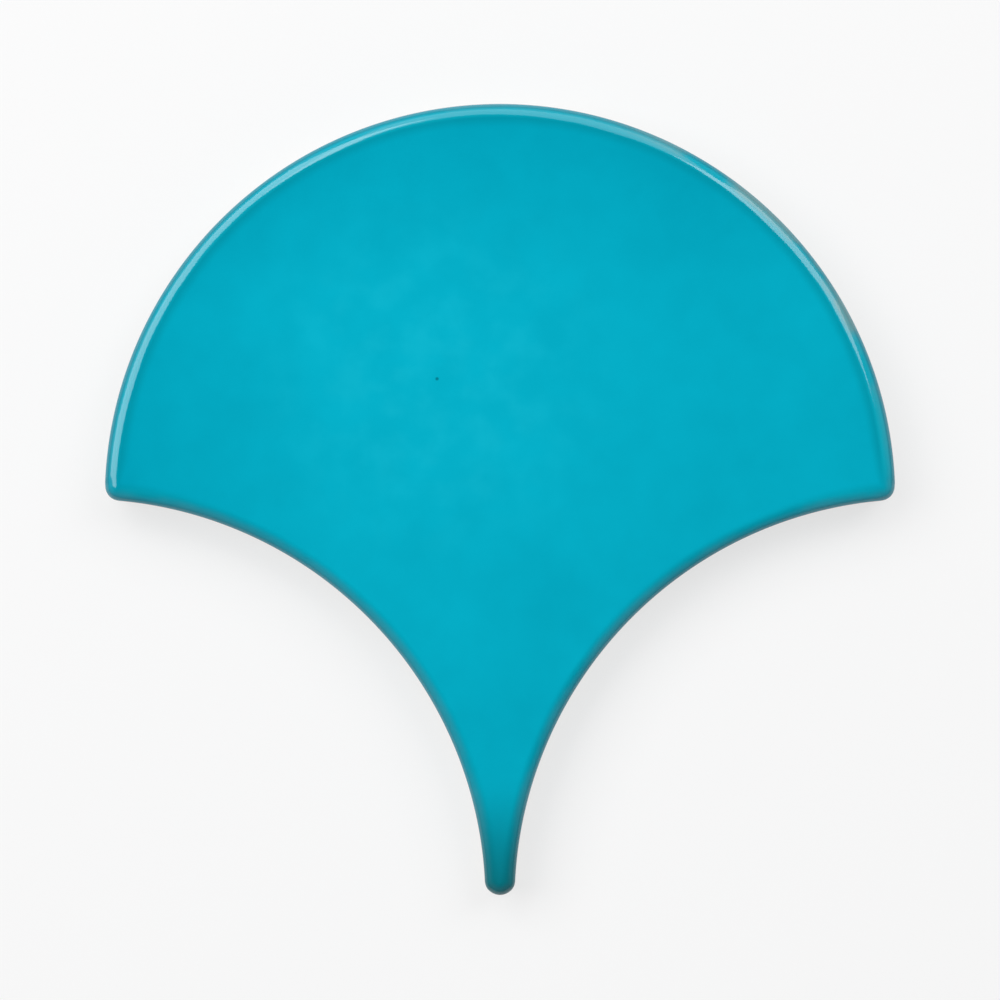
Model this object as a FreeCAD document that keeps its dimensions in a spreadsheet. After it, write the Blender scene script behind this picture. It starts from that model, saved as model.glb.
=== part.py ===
import FreeCAD, Part
import math
import os
from enum import IntEnum

import Sketcher

# A fish scale wall tile: one fired and glazed clay body, lying on its flat back with the face up.
# The round crown points to +Y and the blunt tip to -Y, with a hollow flank on each side between them.
# The origin is the compass centre of the crown, on the back of the tile. All sizes are millimetres.

NODE = "fish_scale_tile"

# Each driving size, with its value and what it measures.
SIZES = (
    ("crown_radius", "60", "round head of the scale, half the width of the tile"),
    ("joint_width", "1", "joint left open to the tiles laid around this one"),
    ("tip_width", "4.5", "tail of the scale, where the two flanks come closest"),
    ("tip_gap", "1.8", "gap below the end of the tip, to the crown of the tile laid two rows down"),
    ("corner_radius", "2.2", "blunted side corners, where the crown meets a flank"),
    ("tile_thickness", "10", "height of the face above the back"),
    ("rim_radius", "2", "soft roll of the glazed edge all round the face"),
    ("arris_width", "0.5", "small bevel all round the back"),
)

# A flank is struck from the crown centre of the neighbour that nests in it, one joint clear of its crown.
FLANK_RADIUS = "sizes.crown_radius + sizes.joint_width"
FLANK_SPREAD = f"{FLANK_RADIUS} + sizes.tip_width / 2"

# Rows lie one flank radius apart, so two rows down a crown begins this far below the tip's own crown centre.
CROWN_BELOW = f"2 * ({FLANK_RADIUS}) - sizes.crown_radius"
TIP_DROP = f"{CROWN_BELOW} - sizes.tip_gap"

# The rim can roll no wider than the rounded corners and the round end of the tip that it runs along.
RIM_SHARE = 0.94
RIM_RADIUS = f"min(sizes.rim_radius; {RIM_SHARE} * sizes.corner_radius; {RIM_SHARE} * sizes.tip_width / 2)"

LEVEL = 1e-6


class Spot(IntEnum):
    """How a sketch rule names the start, end and centre of an arc."""
    START = 1
    END = 2
    CENTRE = 3


class Axis(IntEnum):
    """How a sketch rule names the sketch's own origin and upright axis."""
    ORIGIN = -1
    UPRIGHT = -2


doc = FreeCAD.newDocument(NODE)


def make_sheet():
    sheet = doc.addObject("Spreadsheet::Sheet", "sizes")
    for row, (alias, value, meaning) in enumerate(SIZES, start=1):
        sheet.set(f"A{row}", meaning)
        sheet.set(f"B{row}", value)
        sheet.setAlias(f"B{row}", alias)
    doc.recompute()
    return sheet


def add_arc(sketch, x, y, radius, start, end):
    circle = Part.Circle(FreeCAD.Vector(x, y, 0), FreeCAD.Vector(0, 0, 1), radius)
    return sketch.addGeometry(Part.ArcOfCircle(circle, math.radians(start), math.radians(end)), False)


def add_size(sketch, name, rule, kind, *points_and_value):
    number = sketch.addConstraint(Sketcher.Constraint(kind, *points_and_value))
    sketch.renameConstraint(number, name)
    sketch.setExpression(f"Constraints.{name}", rule)


def draw_outline(sketch, sheet):
    """The scale from above: crown, blunt corners, hollow flanks and a round tip, all tangent arcs."""
    crown_radius = sheet.crown_radius
    corner_radius = sheet.corner_radius
    corner_x = crown_radius - corner_radius
    flank_radius = crown_radius + sheet.joint_width
    half_tip = sheet.tip_width / 2
    flank_x = flank_radius + half_tip
    tip_drop = 2 * flank_radius - crown_radius - sheet.tip_gap
    lean = math.degrees(math.atan2(half_tip, flank_x))

    crown = add_arc(sketch, 0, 0, crown_radius, 0, 180)
    left_corner = add_arc(sketch, -corner_x, corner_radius, corner_radius, 180, 270)
    left_flank = add_arc(sketch, -flank_x, -flank_radius, flank_radius, lean, 90)
    tip = add_arc(sketch, 0, half_tip - tip_drop, half_tip, 180 + lean, 360 - lean)
    right_flank = add_arc(sketch, flank_x, -flank_radius, flank_radius, 90, 180 - lean)
    right_corner = add_arc(sketch, corner_x, corner_radius, corner_radius, 270, 360)
    tip_end = sketch.addGeometry(Part.Point(FreeCAD.Vector(0, -tip_drop, 0)), True)

    rules = (
        ("Coincident", crown, Spot.CENTRE, Axis.ORIGIN, Spot.START),
        ("Symmetric", left_flank, Spot.CENTRE, right_flank, Spot.CENTRE, Axis.UPRIGHT),
        ("Equal", left_flank, right_flank),
        ("Equal", left_corner, right_corner),
        ("PointOnObject", tip_end, Spot.START, Axis.UPRIGHT),
        ("PointOnObject", tip_end, Spot.START, tip),
        ("Tangent", crown, Spot.END, left_corner, Spot.START),
        ("Tangent", left_corner, Spot.END, left_flank, Spot.END),
        ("Tangent", left_flank, Spot.START, tip, Spot.START),
        ("Tangent", tip, Spot.END, right_flank, Spot.END),
        ("Tangent", right_flank, Spot.START, right_corner, Spot.START),
        ("Tangent", right_corner, Spot.END, crown, Spot.START),
    )
    sketch.addConstraint([Sketcher.Constraint(*rule) for rule in rules])

    crown_centre = (crown, Spot.CENTRE)
    flank_centre = (right_flank, Spot.CENTRE)
    add_size(sketch, "crown", "sizes.crown_radius", "Radius", crown, crown_radius)
    add_size(sketch, "corner", "sizes.corner_radius", "Radius", right_corner, corner_radius)
    add_size(sketch, "flank", FLANK_RADIUS, "Radius", right_flank, flank_radius)
    add_size(sketch, "spread", FLANK_SPREAD, "DistanceX", *crown_centre, *flank_centre, flank_x)
    add_size(sketch, "drop", FLANK_RADIUS, "DistanceY", *flank_centre, *crown_centre, flank_radius)
    add_size(sketch, "tail", TIP_DROP, "DistanceY", tip_end, Spot.START, *crown_centre, tip_drop)


def level_face(shape, height):
    """The name of the flat face that lies level at this height."""
    for number, face in enumerate(shape.Faces, start=1):
        box = face.BoundBox
        if abs(box.ZMin - height) < LEVEL and abs(box.ZMax - height) < LEVEL:
            return f"Face{number}"
    raise RuntimeError(f"no level face at {height} mm")


def make_tile(sheet):
    body = doc.addObject("PartDesign::Body", NODE)
    body.Label = NODE
    body.Placement = FreeCAD.Placement()

    outline = body.newObject("Sketcher::SketchObject", "outline")
    back_plane = next(item for item in body.Origin.OriginFeatures if item.Role == "XY_Plane")
    outline.AttachmentSupport = [(back_plane, "")]
    outline.MapMode = "FlatFace"
    draw_outline(outline, sheet)
    doc.recompute()

    slab = body.newObject("PartDesign::Pad", "slab")
    slab.Profile = outline
    slab.setExpression("Length", "sizes.tile_thickness")
    doc.recompute()

    rim = body.newObject("PartDesign::Fillet", "glazed_rim")
    rim.Base = (slab, [level_face(slab.Shape, sheet.tile_thickness)])
    rim.setExpression("Radius", RIM_RADIUS)
    doc.recompute()

    arris = body.newObject("PartDesign::Chamfer", "back_arris")
    arris.Base = (rim, [level_face(rim.Shape, 0)])
    arris.setExpression("Size", "sizes.arris_width")
    doc.recompute()
    return body


def check_document():
    for item in doc.Objects:
        if "Invalid" in item.State or "Error" in item.State:
            raise RuntimeError(f"{item.Label} did not build: {item.State}")


def check_solid(body):
    shape = body.Shape
    if shape.isNull() or not shape.isValid() or len(shape.Solids) != 1:
        raise RuntimeError(f"{body.Label} is not one sound solid")


tile = make_tile(make_sheet())
check_document()
check_solid(tile)

os.makedirs("parts", exist_ok=True)
tile.Shape.exportStep(f"parts/{tile.Label}.step")
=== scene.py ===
import math

import bpy
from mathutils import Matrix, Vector
from mathutils.geometry import intersect_sphere_sphere_2d


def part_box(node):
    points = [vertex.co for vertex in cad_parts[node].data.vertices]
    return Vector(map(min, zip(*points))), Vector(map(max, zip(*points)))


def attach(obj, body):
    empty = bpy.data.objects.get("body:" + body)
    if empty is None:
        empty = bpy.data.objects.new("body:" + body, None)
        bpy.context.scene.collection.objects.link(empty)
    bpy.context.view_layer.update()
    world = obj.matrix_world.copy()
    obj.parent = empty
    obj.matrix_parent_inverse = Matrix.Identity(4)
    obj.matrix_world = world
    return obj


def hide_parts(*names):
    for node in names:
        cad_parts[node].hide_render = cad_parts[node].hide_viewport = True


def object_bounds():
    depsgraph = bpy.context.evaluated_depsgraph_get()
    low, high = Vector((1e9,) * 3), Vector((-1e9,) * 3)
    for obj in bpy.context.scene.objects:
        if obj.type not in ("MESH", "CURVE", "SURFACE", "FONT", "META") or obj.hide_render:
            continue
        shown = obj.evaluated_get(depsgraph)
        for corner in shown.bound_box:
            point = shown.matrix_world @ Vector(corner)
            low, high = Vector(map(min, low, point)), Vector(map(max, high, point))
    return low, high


# A fish scale wall tile: one fired clay body under a turquoise glaze, lying on its back with the face up.
# The round crown points to +Y and the narrow tip to -Y. All sizes are metres.

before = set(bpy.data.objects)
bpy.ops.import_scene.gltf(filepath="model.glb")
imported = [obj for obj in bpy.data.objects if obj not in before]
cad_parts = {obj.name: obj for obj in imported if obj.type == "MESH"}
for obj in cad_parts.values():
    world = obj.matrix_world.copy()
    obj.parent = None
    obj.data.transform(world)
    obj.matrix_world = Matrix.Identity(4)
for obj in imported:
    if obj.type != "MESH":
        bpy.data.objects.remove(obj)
cad_low, cad_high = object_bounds()

NODE = "fish_scale_tile"
MM = 0.001

# Plan and height of the tile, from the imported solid, with the origin at the crown's compass centre.
node_low, node_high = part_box(NODE)
CROWN_RADIUS = node_high.y
TIP_DROP = -node_low.y
THICKNESS = node_high.z
JOINT_WIDTH = 1 * MM
FLANK_RADIUS = CROWN_RADIUS + JOINT_WIDTH
TIP_WIDTH = 4.5 * MM
CORNER_RADIUS = 2.2 * MM

# Section of the tile, as the glaze leaves it.
RIM_WIDTH = 2.2 * MM
RIM_DEPTH = 1.6 * MM
CUSHION_WIDTH = 15 * MM
CUSHION_DEPTH = 0.25 * MM
RIPPLE_LENGTH = 26 * MM
RIPPLE_DEPTH = 0.12 * MM
TIP_DROOP = 0.7 * MM
TIP_DROOP_LENGTH = 16 * MM
GLAZE_STOP = 2.3 * MM
GLAZE_STOP_DRIFT = 0.8 * MM
GLAZE_STOP_DRIFT_LENGTH = 15 * MM
GLAZE_RUN = 0.8 * MM
GLAZE_RUN_LENGTH = 7 * MM
GLAZE_COAT = 0.3 * MM
ARRIS = 0.5 * MM

# How finely the tile is divided, and how strongly the divisions crowd to the rim and to a side's ends.
AROUND = 1001
FACE_RINGS = 64
RING_CROWDING = 0.94
SIDE_POINTS = 1200
SIDE_CROWDING = 0.94
OUTLINE_STEPS = 300

# Within the tolerance a point counts as on the edge, and points within the seam's width are joined.
EDGE_TOLERANCE = 0.0005 * MM
SEAM = 0.0001 * MM

# The spine on which the face's rings end: its low end, its place for the corners, and its rise above that.
SPINE_LOW = TIP_WIDTH / 2 - TIP_DROP
SPINE_MIDDLE = 17 * MM
SPINE_RISE = 12 * MM

SEED = 7.0

# Names of what the tile's mesh carries for its material, and of what it carries while it is made.
RIM_DISTANCE = "rim_distance"
GLAZED = "glazed"
TOASTED = "toasted"
EDGE = "edge"
OUTWARD = "outward"


class Plan:
    """Adds nodes to one tree. What goes into a node is a plain value or another node's socket."""

    def __init__(self, tree):
        self.tree = tree

    def feed(self, socket, value):
        if isinstance(value, bpy.types.NodeSocket):
            self.tree.links.new(value, socket)
        else:
            socket.default_value = value

    def add(self, kind, inputs=None, **settings):
        node = self.tree.nodes.new(kind)
        for name, setting in settings.items():
            setattr(node, name, setting)
        for key, value in (inputs or {}).items():
            self.feed(node.inputs[key], value)
        return node

    def math(self, operation, *values, clamp=False):
        inputs = dict(enumerate(values))
        return self.add("ShaderNodeMath", inputs, operation=operation, use_clamp=clamp).outputs[0]

    def plus(self, *values):
        total = values[0]
        for value in values[1:]:
            total = self.math("ADD", total, value)
        return total

    def times(self, *values):
        product = values[0]
        for value in values[1:]:
            product = self.math("MULTIPLY", product, value)
        return product

    def minus(self, value, less):
        return self.math("SUBTRACT", value, less)

    def vector(self, operation, *values):
        return self.add("ShaderNodeVectorMath", dict(enumerate(values)), operation=operation).outputs[0]

    def distance(self, first, second):
        node = self.add("ShaderNodeVectorMath", {0: first, 1: second}, operation="DISTANCE")
        return node.outputs["Value"]

    def parts(self, vector):
        return self.add("ShaderNodeSeparateXYZ", {0: vector}).outputs

    def join(self, x, y, z):
        return self.add("ShaderNodeCombineXYZ", {"X": x, "Y": y, "Z": z}).outputs[0]

    def blend(self, factor, first, second):
        return self.add("ShaderNodeMix", {0: factor, 2: first, 3: second}, data_type="FLOAT").outputs[0]

    def blend_points(self, factor, first, second):
        return self.add("ShaderNodeMix", {0: factor, 4: first, 5: second}, data_type="VECTOR").outputs[1]

    def blend_colours(self, factor, first, second):
        return self.add("ShaderNodeMix", {0: factor, 6: first, 7: second}, data_type="RGBA").outputs[2]

    def ramp(self, value, start, end, low=0.0, high=1.0, ease="SMOOTHSTEP"):
        inputs = {"Value": value, "From Min": start, "From Max": end, "To Min": low, "To Max": high}
        return self.add("ShaderNodeMapRange", inputs, interpolation_type=ease).outputs[0]

    def band(self, value, start, full, fade, end):
        """From 0 at start up to 1 between full and fade, and down to 0 again at end."""
        return self.times(self.ramp(value, start, full), self.ramp(value, fade, end, 1.0, 0.0))

    def noise(self, place, length, detail=2.0, seed=0.0):
        """Soft noise from 0 to 1 whose patches are about this long; length may be a socket."""
        scale = self.math("DIVIDE", 1.0, length) if isinstance(length, bpy.types.NodeSocket) else 1 / length
        shifted = self.vector("ADD", place, self.join(seed, 0.0, 0.0))
        inputs = {"Vector": shifted, "Scale": scale, "Detail": detail}
        return self.add("ShaderNodeTexNoise", inputs).outputs[0]


def at_angle(centre, radius, angle):
    return centre + radius * Vector((math.cos(angle), math.sin(angle)))


def scale_arcs():
    """The outline's arcs as centre, radius, first and last angle, clockwise from the top of the crown."""
    crown = Vector((0, 0))
    spread = FLANK_RADIUS + TIP_WIDTH / 2
    flank = Vector((spread, -FLANK_RADIUS))
    short_by = FLANK_RADIUS - TIP_DROP
    tip_radius = (spread ** 2 + short_by ** 2 - FLANK_RADIUS ** 2) / (2 * TIP_DROP)
    tip = Vector((0, tip_radius - TIP_DROP))
    meetings = intersect_sphere_sphere_2d(
        crown, CROWN_RADIUS - CORNER_RADIUS, flank, FLANK_RADIUS + CORNER_RADIUS)
    corner = max(meetings, key=lambda point: point.x)

    crown_end = math.atan2(corner.y, corner.x)
    flank_start = math.atan2(corner.y - flank.y, corner.x - flank.x)
    flank_end = math.atan2(tip.y - flank.y, tip.x - flank.x)
    right_half = (
        (crown, CROWN_RADIUS, math.pi / 2, crown_end),
        (corner, CORNER_RADIUS, crown_end, flank_start - math.pi),
        (flank, FLANK_RADIUS, flank_start, flank_end),
        (tip, tip_radius, flank_end - math.pi, -math.pi / 2),
    )
    left_half = tuple(
        (Vector((-centre.x, centre.y)), radius, math.pi - last, math.pi - first)
        for centre, radius, first, last in reversed(right_half)
    )
    return right_half + left_half


def outline_shares():
    """How far round the outline, from the top of the crown, the right corner and the tip's right side lie.

    The third share is half the length of a corner.
    """
    lengths = [radius * abs(last - first) for _, radius, first, last in scale_arcs()]
    crown, corner, flank, tip = lengths[:4]
    corner_middle = crown + corner / 2
    tip_side = crown + corner + flank + tip / 2
    return [length / sum(lengths) for length in (corner_middle, tip_side, corner / 2)]


def draw_outline():
    """The closed outline as a curve, each arc in stretches of no more than a twelfth of a turn."""
    knots = []
    for centre, radius, first, last in scale_arcs():
        count = math.ceil(abs(last - first) / (math.pi / 6))
        step = (last - first) / count
        reach = 4 / 3 * math.tan(step / 4) * radius
        for number in range(count):
            start = first + number * step
            knots.append((at_angle(centre, radius, start), start, reach))

    curve = bpy.data.curves.new("scale_outline", "CURVE")
    curve.dimensions = "3D"
    curve.resolution_u = OUTLINE_STEPS
    spline = curve.splines.new("BEZIER")
    spline.bezier_points.add(len(knots) - 1)
    spline.use_cyclic_u = True
    for number, (point, (place, angle, reach)) in enumerate(zip(spline.bezier_points, knots)):
        along = Vector((-math.sin(angle), math.cos(angle)))
        reach_before = math.copysign(knots[number - 1][2], reach)
        point.handle_left_type = "FREE"
        point.handle_right_type = "FREE"
        point.co = place.to_3d()
        point.handle_left = (place - along * reach_before).to_3d()
        point.handle_right = (place + along * reach).to_3d()
    return bpy.data.objects.new("scale_outline", curve)


class ShapePlan(Plan):
    """Nodes for the tile's shape, which also read the outline, move points and keep values on them."""

    def __init__(self, tree):
        super().__init__(tree)
        self.given = self.add("NodeGroupInput").outputs
        self.place = self.add("GeometryNodeInputPosition").outputs[0]

    def on_outline(self, share, reading="Position"):
        inputs = {"Curves": self.given["Outline"], "Factor": self.math("FRACT", share)}
        node = self.add("GeometryNodeSampleCurve", inputs, mode="FACTOR", use_all_curves=True)
        return node.outputs[reading]

    def side_line(self, start, end):
        """Points along the outline between two shares, crowded near both ends, where it bends most."""
        count = self.given["Side Points"]
        line = self.add("GeometryNodeMeshLine", {"Count": count}, mode="OFFSET", count_mode="TOTAL")
        index = self.add("GeometryNodeInputIndex").outputs[0]
        even = self.math("DIVIDE", index, self.minus(count, 1.0))
        wave = self.math("SINE", self.times(even, 2 * math.pi))
        crowded = self.minus(even, self.times(wave, SIDE_CROWDING / (2 * math.pi)))
        return self.move(line.outputs["Mesh"], self.on_outline(self.blend(crowded, start, end)))

    def distance_to(self, line, place):
        inputs = {"Geometry": line, "Sample Position": place}
        return self.add("GeometryNodeProximity", inputs, target_element="EDGES").outputs["Distance"]

    def move(self, shape, position, where=True):
        inputs = {"Geometry": shape, "Selection": where, "Position": position}
        return self.add("GeometryNodeSetPosition", inputs).outputs[0]

    def merge(self, shape):
        inputs = {"Geometry": shape, "Distance": SEAM}
        return self.add("GeometryNodeMergeByDistance", inputs).outputs[0]

    def keep(self, shape, name, value, kind="FLOAT", where=True):
        inputs = {"Geometry": shape, "Selection": where, "Name": name, "Value": value}
        node = self.add("GeometryNodeStoreNamedAttribute", inputs, data_type=kind, domain="POINT")
        return node.outputs[0]

    def kept(self, name, kind="FLOAT"):
        return self.add("GeometryNodeInputNamedAttribute", {"Name": name}, data_type=kind).outputs[0]


def lay_out_face(plan):
    """The face in plan: rings from the outline in to a spine along the middle, crowded at the rim."""
    given = plan.given
    inputs = {"Vertices X": given["Around"], "Vertices Y": given["Face Rings"]}
    grid = plan.add("GeometryNodeMeshGrid", inputs)
    turn, ring_share, _ = plan.parts(grid.outputs["UV Map"])
    around = plan.minus(1.0, turn)
    outline_point = plan.on_outline(around)

    # Both halves take the spine from the right half of the outline, so that they meet on it.
    right_point = plan.on_outline(plan.math("MINIMUM", around, turn))
    _, right_y, _ = plan.parts(right_point)
    spine_low = given["Spine Low"]
    spine_y = plan.plus(
        plan.ramp(right_y, spine_low, 0.0, spine_low, given["Spine Middle"], ease="LINEAR"),
        plan.ramp(right_y, 0.0, given["Crown Radius"], 0.0, given["Spine Rise"], ease="LINEAR"),
    )
    inward = plan.blend(RING_CROWDING, ring_share, plan.times(ring_share, ring_share))
    flat = plan.blend_points(inward, outline_point, plan.join(0.0, spine_y, 0.0))

    run_x, run_y, _ = plan.parts(plan.on_outline(around, "Tangent"))
    way_out = plan.join(plan.minus(0.0, run_y), run_x, 0.0)
    face = plan.keep(grid.outputs["Mesh"], OUTWARD, way_out, "FLOAT_VECTOR")
    return plan.merge(plan.move(face, flat))


def side_distances(plan):
    """How far a point lies from the crown, the right flank and the left flank.

    Crown and flanks overlap at the corners, and the two flanks at the tip.
    """
    given = plan.given
    mirrored = plan.vector("MULTIPLY", plan.place, (-1, 1, 1))
    corner_start = plan.minus(given["Corner Share"], given["Corner Half"])
    corner_end = plan.plus(given["Corner Share"], given["Corner Half"])
    other_side_of_tip = plan.minus(1.0, given["Tip Share"])
    crown_line = plan.side_line(plan.minus(0.0, corner_end), corner_end)
    flank_line = plan.side_line(corner_start, other_side_of_tip)
    return (
        plan.distance_to(crown_line, plan.place),
        plan.distance_to(flank_line, plan.place),
        plan.distance_to(flank_line, mirrored),
    )


def rolled_edge(plan, distance, rim_width):
    """How far the face lies below its full height at this distance from one side."""
    given = plan.given
    share = plan.ramp(distance, EDGE_TOLERANCE, rim_width, 1.0, 0.0, ease="LINEAR")
    rest = plan.minus(1.0, plan.times(share, share))
    fall = plan.minus(1.0, plan.math("SQRT", rest))
    cushion = plan.ramp(distance, 0.0, given["Cushion Width"], given["Cushion Depth"], 0.0)
    return plan.plus(plan.times(fall, given["Rim Depth"]), cushion)


def roll_rim(plan, face):
    """The face in section: each side rolls over, and where sides meet their rolls run together."""
    blending = 3.0
    narrowest, widest = 0.85, 1.15
    given = plan.given
    to_crown, to_right, to_left = side_distances(plan)
    nearest = plan.math("MINIMUM", plan.math("MINIMUM", to_crown, to_right), to_left)

    sway = plan.noise(plan.place, given["Ripple Length"], seed=plan.plus(given["Seed"], 3.0))
    rim_width = plan.times(given["Rim Width"], plan.ramp(sway, 0.25, 0.75, narrowest, widest))
    drops = [rolled_edge(plan, distance, rim_width) for distance in (to_crown, to_right, to_left)]
    raised = [plan.math("POWER", drop, blending) for drop in drops]
    drop = plan.math("POWER", plan.plus(*raised), 1 / blending)

    ripple = plan.noise(plan.place, given["Ripple Length"], seed=given["Seed"])
    ripple = plan.times(ripple, given["Ripple Depth"])
    x, y, _ = plan.parts(plan.place)
    droop_start = plan.plus(given["Tip End"], given["Droop Length"])
    droop = plan.ramp(y, droop_start, given["Tip End"], 0.0, given["Droop"])
    height = plan.minus(given["Thickness"], plan.plus(drop, ripple, droop))

    face = plan.keep(face, RIM_DISTANCE, nearest)
    face = plan.keep(face, GLAZED, 1.0)
    face = plan.keep(face, TOASTED, 0.0)
    return plan.move(face, plan.join(x, y, height))


def glaze_stop(plan, edge):
    """How high on the wall the glaze stops, on a line that drifts and has run lower here and there."""
    given = plan.given
    edge_x, edge_y, _ = plan.parts(edge)
    below_edge = plan.join(edge_x, edge_y, 0.0)
    drift = plan.noise(below_edge, given["Glaze Stop Drift Length"], detail=3.0, seed=given["Seed"])
    drift = plan.ramp(drift, 0.2, 0.8, -1.0, 1.0, ease="LINEAR")
    run = plan.noise(below_edge, given["Glaze Run Length"], seed=plan.plus(given["Seed"], 5.0))
    run = plan.ramp(run, 0.52, 0.74)
    stop = plan.plus(given["Glaze Stop"], plan.times(drift, given["Glaze Stop Drift"]))
    return plan.minus(stop, plan.times(run, given["Glaze Run"]))


def wall_rings(plan, edge):
    """The rings of the wall from the top, with the glaze ending in a bead above bare clay.

    Each ring is its inset, its height, whether it is glazed and how toasted its clay is.
    """
    coat, arris = plan.given["Glaze Coat"], plan.given["Arris"]
    stop = glaze_stop(plan, edge)
    _, _, edge_z = plan.parts(edge)

    def above_stop(coats):
        return plan.plus(stop, plan.times(coat, coats))

    return (
        (0.0, plan.blend(0.45, edge_z, stop), 1.0, 0.0),
        (0.0, above_stop(4.0), 1.0, 0.0),
        (0.0, above_stop(1.6), 1.0, 0.0),
        (plan.times(coat, 0.45), above_stop(0.5), 1.0, 0.0),
        (coat, stop, 1.0, 1.0),
        (coat, above_stop(-0.25), 0.0, 1.0),
        (coat, plan.blend(0.5, stop, arris), 0.0, 0.0),
        (coat, arris, 0.0, 0.0),
        (plan.plus(coat, arris), 0.0, 0.0, 0.0),
    )


def drop_wall(plan, shape):
    """Drops the wall's rings from the edge of the face, and returns the shape and its lowest ring."""
    shape = plan.keep(shape, EDGE, plan.place, "FLOAT_VECTOR")
    edge = plan.kept(EDGE, "FLOAT_VECTOR")
    outward = plan.kept(OUTWARD, "FLOAT_VECTOR")
    face_count = plan.add("GeometryNodeInputMeshEdgeNeighbors").outputs[0]
    ring = plan.math("LESS_THAN", face_count, 1.5)
    for inset, height, glazed, toasted in wall_rings(plan, edge):
        inputs = {"Mesh": shape, "Selection": ring, "Offset Scale": 0.0}
        extruded = plan.add("GeometryNodeExtrudeMesh", inputs, mode="EDGES").outputs
        ring = extruded["Top"]
        inset_by = plan.add("ShaderNodeVectorMath", {0: outward, 3: inset}, operation="SCALE").outputs[0]
        x, y, _ = plan.parts(plan.vector("SUBTRACT", edge, inset_by))
        shape = plan.move(extruded["Mesh"], plan.join(x, y, height), where=ring)
        shape = plan.keep(shape, GLAZED, glazed, where=ring)
        shape = plan.keep(shape, TOASTED, toasted, where=ring)
    return shape, ring


def close_back(plan, shape, lowest_ring):
    """Closes the tile with one flat face across the lowest ring."""
    ring = plan.add("GeometryNodeMeshToCurve", {"Mesh": shape, "Selection": lowest_ring}).outputs[0]
    back = plan.add("GeometryNodeFillCurve", {"Curve": ring}, mode="NGONS").outputs[0]
    back = plan.add("GeometryNodeFlipFaces", {"Mesh": back}).outputs[0]
    joined = plan.add("GeometryNodeJoinGeometry")
    for piece in (back, shape):
        plan.feed(joined.inputs[0], piece)
    return plan.merge(joined.outputs[0])


def shade(plan, shape):
    """Shades the tile smooth all over, apart from the bevelled arris of the back."""
    sharp_bend = math.radians(30)
    inputs = {"Geometry": shape, "Shade Smooth": True}
    shape = plan.add("GeometryNodeSetShadeSmooth", inputs).outputs[0]
    bend = plan.add("GeometryNodeInputMeshEdgeAngle").outputs["Unsigned Angle"]
    is_bent = plan.math("GREATER_THAN", bend, sharp_bend)
    _, _, z = plan.parts(plan.place)
    is_low = plan.math("LESS_THAN", z, plan.times(plan.given["Arris"], 1.5))
    inputs = {"Geometry": shape, "Selection": plan.times(is_bent, is_low), "Shade Smooth": False}
    return plan.add("GeometryNodeSetShadeSmooth", inputs, domain="EDGE").outputs[0]


def tile_tree():
    """Fills the outline with a face that rolls over at the rim, and drops a wall and a back from it."""
    tree = bpy.data.node_groups.new("poured_tile", "GeometryNodeTree")
    tree.interface.new_socket("Outline", in_out="INPUT", socket_type="NodeSocketGeometry")
    for name in TILE_SIZES:
        tree.interface.new_socket(name, in_out="INPUT", socket_type="NodeSocketFloat")
    for name in TILE_COUNTS:
        tree.interface.new_socket(name, in_out="INPUT", socket_type="NodeSocketInt")
    tree.interface.new_socket("Finish", in_out="INPUT", socket_type="NodeSocketMaterial")
    tree.interface.new_socket("Tile", in_out="OUTPUT", socket_type="NodeSocketGeometry")

    plan = ShapePlan(tree)
    face = roll_rim(plan, lay_out_face(plan))
    shape, lowest_ring = drop_wall(plan, face)
    shape = shade(plan, close_back(plan, shape, lowest_ring))
    for name in (EDGE, OUTWARD):
        shape = plan.add("GeometryNodeRemoveAttribute", {"Geometry": shape, "Name": name}).outputs[0]
    shape = plan.add("GeometryNodeRealizeInstances", {"Geometry": shape}).outputs[0]
    inputs = {"Geometry": shape, "Material": plan.given["Finish"]}
    shape = plan.add("GeometryNodeSetMaterial", inputs).outputs[0]
    plan.add("NodeGroupOutput", {"Tile": shape})
    return tree


corner_share, tip_share, corner_half = outline_shares()
TILE_SIZES = {
    "Corner Share": corner_share,
    "Corner Half": corner_half,
    "Tip Share": tip_share,
    "Crown Radius": CROWN_RADIUS,
    "Spine Low": SPINE_LOW,
    "Spine Middle": SPINE_MIDDLE,
    "Spine Rise": SPINE_RISE,
    "Thickness": THICKNESS,
    "Rim Width": RIM_WIDTH,
    "Rim Depth": RIM_DEPTH,
    "Cushion Width": CUSHION_WIDTH,
    "Cushion Depth": CUSHION_DEPTH,
    "Ripple Length": RIPPLE_LENGTH,
    "Ripple Depth": RIPPLE_DEPTH,
    "Glaze Stop": GLAZE_STOP,
    "Glaze Stop Drift": GLAZE_STOP_DRIFT,
    "Glaze Stop Drift Length": GLAZE_STOP_DRIFT_LENGTH,
    "Glaze Run": GLAZE_RUN,
    "Glaze Run Length": GLAZE_RUN_LENGTH,
    "Glaze Coat": GLAZE_COAT,
    "Arris": ARRIS,
    "Tip End": -TIP_DROP,
    "Droop": TIP_DROOP,
    "Droop Length": TIP_DROOP_LENGTH,
    "Seed": SEED,
}
TILE_COUNTS = {"Around": AROUND, "Face Rings": FACE_RINGS, "Side Points": SIDE_POINTS}


def make_tile(finish):
    outline = draw_outline()
    bpy.context.collection.objects.link(outline)
    tree = tile_tree()
    sockets = {item.name: item.identifier for item in tree.interface.items_tree if item.in_out == "INPUT"}
    pour = outline.modifiers.new("pour", "NODES")
    pour.node_group = tree
    for name, value in {**TILE_SIZES, **TILE_COUNTS, "Finish": finish}.items():
        pour[sockets[name]] = value

    graph = bpy.context.evaluated_depsgraph_get()
    mesh = bpy.data.meshes.new_from_object(outline.evaluated_get(graph), depsgraph=graph)
    mesh.name = "glazed_tile"
    bpy.data.objects.remove(outline)
    tile = bpy.data.objects.new("glazed_tile", mesh)
    bpy.context.collection.objects.link(tile)
    return tile


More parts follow.
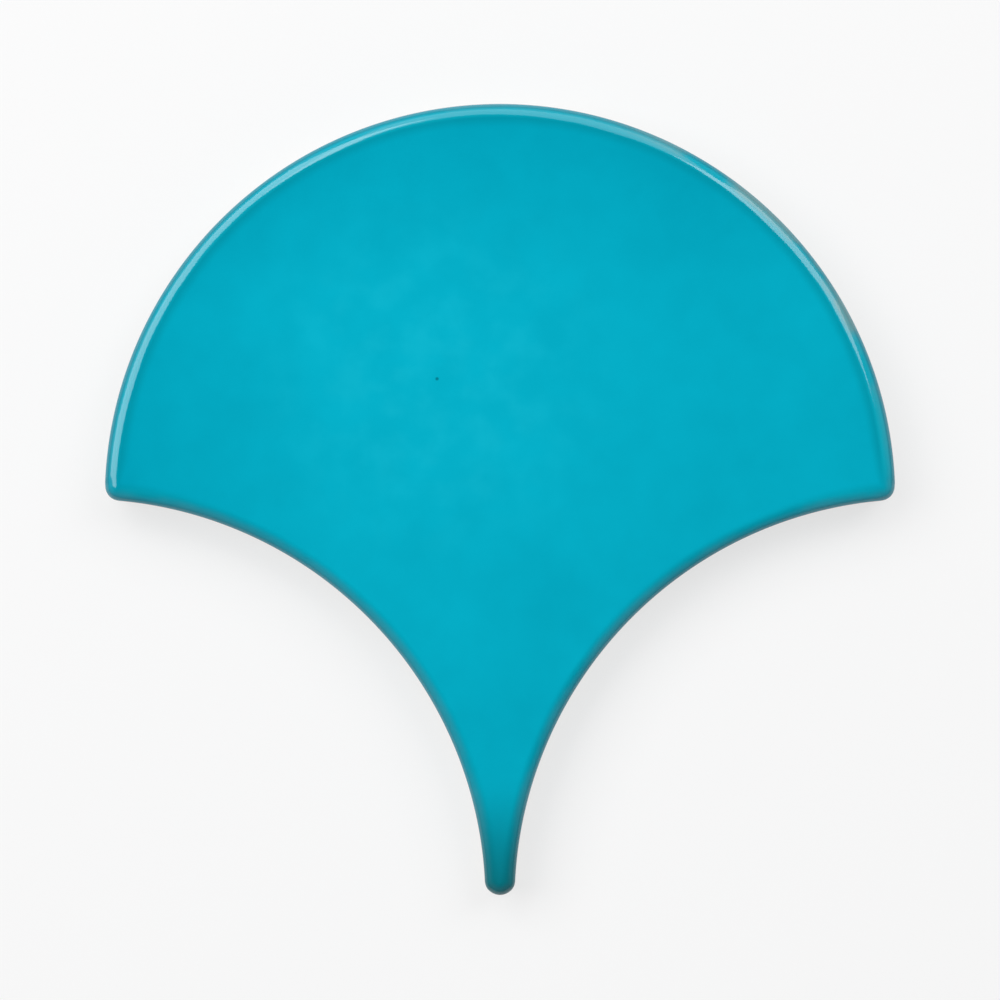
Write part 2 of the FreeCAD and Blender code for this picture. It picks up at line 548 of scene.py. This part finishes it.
# Where the face's painted light is brightest and its milky mottling gathers, and the one pinhole in the
# glaze.
BRIGHT_CENTRE = (-10 * MM, 18 * MM, 0)
PINHOLE = (-9.5 * MM, 18.2 * MM, 0)
PINHOLE_RADIUS = 0.35 * MM


def painted_light_and_tone(plan, flat, from_bright_centre):
    """From 0 to 1, how bright the glaze looks: painted light brightest round the bright centre, painted
    shade to the left and the top, and clouds and flecks that vary at random.
    """
    x, y, _ = plan.parts(flat)
    # Painted light: brightest at the bright centre, fading out towards the rim.
    painted_light = plan.ramp(from_bright_centre, 3 * MM, 60 * MM, 0.86, 0.58)
    # Painted shade towards the left side and towards the top.
    left = plan.ramp(x, -58 * MM, -22 * MM, -0.55, 0.0)
    top = plan.ramp(y, 28 * MM, 54 * MM, 0.0, -0.60)
    clouds = plan.ramp(plan.noise(flat, 20 * MM, detail=3.0, seed=1.0), 0.25, 0.75, -0.14, 0.14)
    flecks = plan.ramp(plan.noise(flat, 5 * MM, detail=2.0, seed=4.0), 0.3, 0.7, -0.06, 0.06)
    return plan.math("ADD", plan.plus(painted_light, left, top, clouds), flecks, clamp=True)


def glaze_break(plan, flat, rim):
    """Where the glaze has run thin on the rim: in patches, most of them at the upper right of the crown."""
    x, y, _ = plan.parts(flat)
    on_rim = plan.band(rim, 0.05 * MM, 0.3 * MM, 1.0 * MM, 2.0 * MM)
    upper_right = plan.times(plan.ramp(x, 14 * MM, 38 * MM), plan.ramp(y, 12 * MM, 30 * MM))
    side = plan.plus(upper_right, 0.12)
    patches = plan.ramp(plan.noise(flat, 12 * MM, detail=5.0, seed=2.0), 0.40, 0.58)
    return plan.math("MULTIPLY", plan.times(on_rim, side), patches, clamp=True)


def rim_colour(plan, colour, flat, rim):
    """The rim over the face: a pooled band inside it, a paler band of painted light under the crown's
    highlight, painted shade on the outer edge and the wall, and breaks to buff.
    """
    pooled = (0.0008, 0.250, 0.325, 1)
    # wall: painted shade for the outermost rim and the wall.
    wall = (0.0006, 0.190, 0.250, 1)
    # A paler turquoise, painted light laid under the crown's highlight.
    painted_glow = (0.0060, 0.460, 0.585, 1)
    broken = (0.260, 0.330, 0.290, 1)
    _, y, _ = plan.parts(flat)
    on_crown = plan.ramp(y, -4 * MM, 8 * MM)
    pool_start = plan.blend(on_crown, 0.8 * MM, 2.0 * MM)
    pool_end = plan.blend(on_crown, 2.4 * MM, 3.8 * MM)
    colour = plan.blend_colours(plan.ramp(rim, pool_start, pool_end, 0.55, 0.0), colour, pooled)
    # Painted light: the paler band where the soft boxes' highlight falls, on the crown's side only.
    painted_glow_band = plan.times(plan.band(rim, 0.6 * MM, 1.0 * MM, 1.6 * MM, 2.4 * MM), on_crown)
    colour = plan.blend_colours(plan.times(painted_glow_band, 0.65), colour, painted_glow)
    # Painted shade along the outer edge of the rim and down the wall.
    colour = plan.blend_colours(plan.ramp(rim, 0.3 * MM, 0.9 * MM, 0.4, 0.0), colour, wall)
    return plan.blend_colours(plan.times(glaze_break(plan, flat, rim), 0.5), colour, broken)


def glaze_colour(plan, place, rim):
    """Turquoise with painted light and shade across the face, a milky heart and one pinhole, deepest at the
    tip.
    """
    # full and thin: the turquoise painted lit and painted in shade, mixed by the painted light and shade
    # and by random clouds and flecks.
    full = (0.0016, 0.475, 0.635, 1)
    thin = (0.0003, 0.365, 0.500, 1)
    milky = (0.0100, 0.545, 0.700, 1)
    pit = (0.0010, 0.150, 0.200, 1)
    tip_end = (0.0035, 0.112, 0.122, 1)
    x, y, _ = plan.parts(place)
    flat = plan.join(x, y, 0.0)
    from_bright_centre = plan.distance(flat, BRIGHT_CENTRE)
    colour = plan.blend_colours(painted_light_and_tone(plan, flat, from_bright_centre), thin, full)
    milk = plan.ramp(plan.noise(flat, 5 * MM, detail=3.0, seed=5.0), 0.40, 0.70, 0.0, 0.32)
    milk = plan.times(milk, plan.ramp(from_bright_centre, 6 * MM, 34 * MM, 1.0, 0.0))
    colour = plan.blend_colours(milk, colour, milky)
    pinhole = plan.ramp(plan.distance(flat, PINHOLE), 0.4 * PINHOLE_RADIUS, PINHOLE_RADIUS, 0.75, 0.0)
    colour = plan.blend_colours(pinhole, colour, pit)
    colour = rim_colour(plan, colour, flat, rim)
    return plan.blend_colours(plan.ramp(y, -40 * MM, -64 * MM, 0.0, 0.85), colour, tip_end)


def clay_colour(plan, place, grain, toasted):
    """Buff clay with paler and darker grains and iron specks, browned in a line under the glaze."""
    pale = (0.560, 0.430, 0.305, 1)
    dark = (0.465, 0.345, 0.235, 1)
    toast = (0.230, 0.120, 0.060, 1)
    iron = (0.120, 0.070, 0.045, 1)
    shade = plan.noise(place, 18 * MM, detail=2.0, seed=8.0)
    shade = plan.plus(plan.times(grain, 0.5), plan.times(shade, 0.5))
    colour = plan.blend_colours(plan.ramp(shade, 0.35, 0.65), dark, pale)
    specks = plan.ramp(plan.noise(place, 0.9 * MM, detail=1.0, seed=6.0), 0.70, 0.76, 0.0, 0.7)
    colour = plan.blend_colours(specks, colour, iron)
    return plan.blend_colours(plan.times(toasted, 0.7), colour, toast)


def glaze_finish():
    """A glossy poured glaze that ends above bare buff clay."""
    material = bpy.data.materials.new("turquoise_glaze_on_clay")
    material.use_nodes = True
    plan = Plan(material.node_tree)
    shader = material.node_tree.nodes["Principled BSDF"]
    place = plan.add("ShaderNodeTexCoord").outputs["Object"]
    rim, glazed, toasted = (
        plan.add("ShaderNodeAttribute", attribute_name=name).outputs["Fac"]
        for name in (RIM_DISTANCE, GLAZED, TOASTED)
    )
    grain = plan.noise(place, 0.8 * MM, detail=3.0)
    clay = clay_colour(plan, place, grain, toasted)
    colour = plan.blend_colours(glazed, clay, glaze_colour(plan, place, rim))
    plan.feed(shader.inputs["Base Color"], colour)

    clay_roughness, glaze_roughness = 0.85, 0.06
    plan.feed(shader.inputs["Roughness"], plan.blend(glazed, clay_roughness, glaze_roughness))
    shader.inputs["IOR"].default_value = 1.5
    peel = plan.times(plan.noise(place, 2.2 * MM, detail=1.0), 0.004 * MM)
    grit = plan.times(grain, 0.05 * MM)
    height = plan.blend(glazed, grit, peel)
    bump = plan.add("ShaderNodeBump", {"Height": height, "Strength": 1.0, "Distance": 1.0}).outputs[0]
    plan.feed(shader.inputs["Normal"], bump)
    return material


def floor_finish():
    """A pale floor that a viewer sees partly as a plain white sheet, under the tile's own soft shadow."""
    sheet_share = 0.7
    material = bpy.data.materials.new("pale_floor")
    material.use_nodes = True
    plan = Plan(material.node_tree)
    shader = material.node_tree.nodes["Principled BSDF"]
    shader.inputs["Base Color"].default_value = (0.85, 0.85, 0.85, 1)
    shader.inputs["Roughness"].default_value = 0.9
    shader.inputs["Specular IOR Level"].default_value = 0.1
    white = plan.add("ShaderNodeEmission", {"Color": (1, 1, 1, 1), "Strength": 1.0}).outputs[0]
    path = plan.add("ShaderNodeLightPath").outputs
    seen = plan.math("MAXIMUM", path["Is Camera Ray"], path["Is Glossy Ray"])
    seen = plan.math("MAXIMUM", seen, path["Is Transmission Ray"])
    inputs = {0: plan.times(seen, sheet_share), 1: shader.outputs[0], 2: white}
    surface = plan.add("ShaderNodeMixShader", inputs).outputs[0]
    plan.feed(material.node_tree.nodes["Material Output"].inputs["Surface"], surface)
    return material


def make_floor():
    half = 4.0
    mesh = bpy.data.meshes.new("floor")
    corners = [(-half, -half, 0), (half, -half, 0), (half, half, 0), (-half, half, 0)]
    mesh.from_pydata(corners, [], [(0, 1, 2, 3)])
    mesh.materials.append(floor_finish())
    floor = bpy.data.objects.new("floor", mesh)
    bpy.context.collection.objects.link(floor)
    return floor


def make_world():
    """A studio whose walls are pale near the floor and whose ceiling is dark."""
    walls = (0.30, 0.31, 0.32, 1)
    ceiling = (0.01, 0.01, 0.01, 1)
    world = bpy.data.worlds.new("studio")
    world.use_nodes = True
    bpy.context.scene.world = world
    plan = Plan(world.node_tree)
    direction = plan.add("ShaderNodeTexCoord").outputs["Generated"]
    _, _, lift = plan.parts(direction)
    colour = plan.blend_colours(plan.ramp(lift, 0.35, 0.88), walls, ceiling)
    plan.feed(world.node_tree.nodes["Background"].inputs["Color"], colour)


# The soft boxes round the crown's side of the tile: name, degrees from +X towards +Y, width, brightness.
SOFTBOXES = (
    ("left_softbox", 150, 0.95, 3.7),
    ("top_softbox", 86, 0.70, 1.5),
    ("right_softbox", 40, 0.36, 3.7),
)
SOFTBOX_RISE = math.radians(50)
SOFTBOX_DISTANCE = 1.0
SOFTBOX_HEIGHT = 0.68


def make_softbox(name, azimuth, width, brightness):
    """One soft box, aimed at the tile."""
    light = bpy.data.lights.new(name, "AREA")
    light.shape = "RECTANGLE"
    light.size = width
    light.size_y = SOFTBOX_HEIGHT
    light.energy = brightness * math.pi * width * SOFTBOX_HEIGHT
    lamp = bpy.data.objects.new(name, light)
    around = at_angle(Vector((0, 0)), math.cos(SOFTBOX_RISE), math.radians(azimuth))
    back = Vector((around.x, around.y, math.sin(SOFTBOX_RISE)))
    lamp.location = back * SOFTBOX_DISTANCE
    lamp.rotation_euler = back.to_track_quat("Z", "Y").to_euler()
    lamp.visible_camera = False
    bpy.context.collection.objects.link(lamp)


def make_camera():
    """Straight above the tile, looking down."""
    frame_width = 151 * MM
    camera = bpy.data.cameras.new("camera")
    camera.lens = 100
    camera.clip_start = 0.01
    viewer = bpy.data.objects.new("camera", camera)
    middle = (cad_low + cad_high) / 2
    rise = frame_width * camera.lens / camera.sensor_width
    viewer.location = (middle.x, middle.y, THICKNESS + rise)
    bpy.context.collection.objects.link(viewer)
    bpy.context.scene.camera = viewer


bpy.context.scene.view_settings.view_transform = "Standard"
tile = make_tile(glaze_finish())
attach(tile, "root")
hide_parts(NODE)
make_floor()
make_world()
for softbox in SOFTBOXES:
    make_softbox(*softbox)
make_camera()
